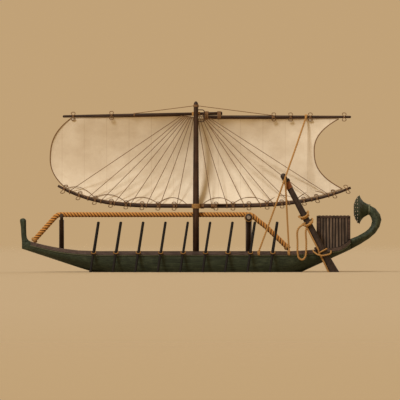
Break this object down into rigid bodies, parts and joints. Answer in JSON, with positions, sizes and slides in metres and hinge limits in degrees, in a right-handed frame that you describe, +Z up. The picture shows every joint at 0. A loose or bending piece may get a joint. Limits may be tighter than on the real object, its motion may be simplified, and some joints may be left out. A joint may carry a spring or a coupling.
{
  "type": "reed boat",
  "caption": "Long reed boat with upturned ends, one wide bellied sail on a yard and boom, rowing oars, steering oar, cabin and rope truss.",
  "frame": {"origin": "on the mast's axis at the water's surface", "axes": "+X to the bow, +Y to port, +Z up along the mast"},
  "size_m": [16.9932, 5.5774, 9.3536],
  "materials": {
    "reed": "dull dark green bundled papyrus",
    "flower": "dark green painted papyrus flower",
    "rail": "weathered purple-brown timber",
    "timber": "oiled dark brown timber",
    "boards": "worn brown planks",
    "cabin": "dark brown slatted timber",
    "rope": "golden twisted grass rope",
    "truss_rope": "thick golden twisted rope",
    "sailcloth": "cream linen cloth",
    "dark_oar": "almost black painted timber"
  },
  "bodies": {
    "hull": {"port_hull_bundle": "reed", "starboard_hull_bundle": "reed", "port_rail": "rail", "starboard_rail": "rail", "bow_post": "reed", "stern_stem": "reed", "stern_flower": "flower", "well_floor_boards": "boards", "foredeck": "boards", "afterdeck": "boards", "thwarts": "boards", "mast_thwart": "timber", "mast": "timber", "mast_step": "timber", "masthead_rings": "timber", "truss_rope": "truss_rope", "truss_prop_fore": "timber", "truss_prop_aft": "timber", "cabin_port_wall": "cabin", "cabin_starboard_wall": "cabin", "cabin_fore_wall": "cabin", "cabin_aft_wall": "cabin", "cabin_roof": "cabin", "steering_beam": "timber", "steering_sling": "rope", "port_oar_loops": "rope", "starboard_oar_loops": "rope"},
    "rig": {"yard_fore_spar": "timber", "yard_aft_spar": "timber", "boom_fore_spar": "timber", "boom_aft_spar": "timber", "sail": "sailcloth", "boom_parrel": "rope", "yard_parrel": "rope"},
    "steering_oar": {"steering_oar": "timber"},
    "port_oar_1": {"port_oar_1": "dark_oar"},
    "port_oar_2": {"port_oar_2": "dark_oar"},
    "port_oar_3": {"port_oar_3": "dark_oar"},
    "port_oar_4": {"port_oar_4": "dark_oar"},
    "port_oar_5": {"port_oar_5": "dark_oar"},
    "port_oar_6": {"port_oar_6": "dark_oar"},
    "port_oar_7": {"port_oar_7": "dark_oar"},
    "port_oar_8": {"port_oar_8": "dark_oar"},
    "port_oar_9": {"port_oar_9": "dark_oar"},
    "starboard_oar_1": {"starboard_oar_1": "dark_oar"},
    "starboard_oar_2": {"starboard_oar_2": "dark_oar"},
    "starboard_oar_3": {"starboard_oar_3": "dark_oar"},
    "starboard_oar_4": {"starboard_oar_4": "dark_oar"},
    "starboard_oar_5": {"starboard_oar_5": "dark_oar"},
    "starboard_oar_6": {"starboard_oar_6": "dark_oar"},
    "starboard_oar_7": {"starboard_oar_7": "dark_oar"},
    "starboard_oar_8": {"starboard_oar_8": "dark_oar"},
    "starboard_oar_9": {"starboard_oar_9": "dark_oar"}
  },
  "joints": [
    {"name": "rig_swing", "type": "hinge", "parent": "hull", "child": "rig", "pos_m": [0, 0, 0], "axis": [0, 0, 1], "range_deg": [0, 90]},
    {"name": "steering_turn", "type": "hinge", "parent": "hull", "child": "steering_oar", "pos_m": [-5.95, 1.3516, 1], "axis": [0.4679, 0, 0.8838], "range_deg": [-40, 40]},
    {"name": "port_oar_1_swing", "type": "hinge", "parent": "hull", "child": "port_oar_1", "pos_m": [4.8, 1.65328, 0.92], "axis": [0, 0.9063, 0.4226], "range_deg": [-25, 25]},
    {"name": "port_oar_2_swing", "type": "hinge", "parent": "hull", "child": "port_oar_2", "pos_m": [3.75, 1.83733, 0.92], "axis": [0, 0.9063, 0.4226], "range_deg": [-25, 25]},
    {"name": "port_oar_3_swing", "type": "hinge", "parent": "hull", "child": "port_oar_3", "pos_m": [2.7, 1.94187, 0.92], "axis": [0, 0.9063, 0.4226], "range_deg": [-25, 25]},
    {"name": "port_oar_4_swing", "type": "hinge", "parent": "hull", "child": "port_oar_4", "pos_m": [1.65, 1.99161, 0.92], "axis": [0, 0.9063, 0.4226], "range_deg": [-25, 25]},
    {"name": "port_oar_5_swing", "type": "hinge", "parent": "hull", "child": "port_oar_5", "pos_m": [0.6, 2.00741, 0.92], "axis": [0, 0.9063, 0.4226], "range_deg": [-25, 25]},
    {"name": "port_oar_6_swing", "type": "hinge", "parent": "hull", "child": "port_oar_6", "pos_m": [-0.45, 2.00398, 0.92], "axis": [0, 0.9063, 0.4226], "range_deg": [-25, 25]},
    {"name": "port_oar_7_swing", "type": "hinge", "parent": "hull", "child": "port_oar_7", "pos_m": [-1.5, 1.97217, 0.92], "axis": [0, 0.9063, 0.4226], "range_deg": [-25, 25]},
    {"name": "port_oar_8_swing", "type": "hinge", "parent": "hull", "child": "port_oar_8", "pos_m": [-2.55, 1.89468, 0.92], "axis": [0, 0.9063, 0.4226], "range_deg": [-25, 25]},
    {"name": "port_oar_9_swing", "type": "hinge", "parent": "hull", "child": "port_oar_9", "pos_m": [-3.6, 1.76365, 0.92], "axis": [0, 0.9063, 0.4226], "range_deg": [-25, 25]},
    {"name": "starboard_oar_1_swing", "type": "hinge", "parent": "hull", "child": "starboard_oar_1", "pos_m": [4.8, -1.65328, 0.92], "axis": [0, 0.9063, -0.4226], "range_deg": [-25, 25]},
    {"name": "starboard_oar_2_swing", "type": "hinge", "parent": "hull", "child": "starboard_oar_2", "pos_m": [3.75, -1.83733, 0.92], "axis": [0, 0.9063, -0.4226], "range_deg": [-25, 25]},
    {"name": "starboard_oar_3_swing", "type": "hinge", "parent": "hull", "child": "starboard_oar_3", "pos_m": [2.7, -1.94187, 0.92], "axis": [0, 0.9063, -0.4226], "range_deg": [-25, 25]},
    {"name": "starboard_oar_4_swing", "type": "hinge", "parent": "hull", "child": "starboard_oar_4", "pos_m": [1.65, -1.99161, 0.92], "axis": [0, 0.9063, -0.4226], "range_deg": [-25, 25]},
    {"name": "starboard_oar_5_swing", "type": "hinge", "parent": "hull", "child": "starboard_oar_5", "pos_m": [0.6, -2.00741, 0.92], "axis": [0, 0.9063, -0.4226], "range_deg": [-25, 25]},
    {"name": "starboard_oar_6_swing", "type": "hinge", "parent": "hull", "child": "starboard_oar_6", "pos_m": [-0.45, -2.00398, 0.92], "axis": [0, 0.9063, -0.4226], "range_deg": [-25, 25]},
    {"name": "starboard_oar_7_swing", "type": "hinge", "parent": "hull", "child": "starboard_oar_7", "pos_m": [-1.5, -1.97217, 0.92], "axis": [0, 0.9063, -0.4226], "range_deg": [-25, 25]},
    {"name": "starboard_oar_8_swing", "type": "hinge", "parent": "hull", "child": "starboard_oar_8", "pos_m": [-2.55, -1.89468, 0.92], "axis": [0, 0.9063, -0.4226], "range_deg": [-25, 25]},
    {"name": "starboard_oar_9_swing", "type": "hinge", "parent": "hull", "child": "starboard_oar_9", "pos_m": [-3.6, -1.76365, 0.92], "axis": [0, 0.9063, -0.4226], "range_deg": [-25, 25]}
  ],
  "couplings": [
    {"joint": "port_oar_2_swing", "follows": "port_oar_1_swing", "ratio": 1},
    {"joint": "port_oar_3_swing", "follows": "port_oar_1_swing", "ratio": 1},
    {"joint": "port_oar_4_swing", "follows": "port_oar_1_swing", "ratio": 1},
    {"joint": "port_oar_5_swing", "follows": "port_oar_1_swing", "ratio": 1},
    {"joint": "port_oar_6_swing", "follows": "port_oar_1_swing", "ratio": 1},
    {"joint": "port_oar_7_swing", "follows": "port_oar_1_swing", "ratio": 1},
    {"joint": "port_oar_8_swing", "follows": "port_oar_1_swing", "ratio": 1},
    {"joint": "port_oar_9_swing", "follows": "port_oar_1_swing", "ratio": 1},
    {"joint": "starboard_oar_2_swing", "follows": "starboard_oar_1_swing", "ratio": 1},
    {"joint": "starboard_oar_3_swing", "follows": "starboard_oar_1_swing", "ratio": 1},
    {"joint": "starboard_oar_4_swing", "follows": "starboard_oar_1_swing", "ratio": 1},
    {"joint": "starboard_oar_5_swing", "follows": "starboard_oar_1_swing", "ratio": 1},
    {"joint": "starboard_oar_6_swing", "follows": "starboard_oar_1_swing", "ratio": 1},
    {"joint": "starboard_oar_7_swing", "follows": "starboard_oar_1_swing", "ratio": 1},
    {"joint": "starboard_oar_8_swing", "follows": "starboard_oar_1_swing", "ratio": 1},
    {"joint": "starboard_oar_9_swing", "follows": "starboard_oar_1_swing", "ratio": 1}
  ]
}
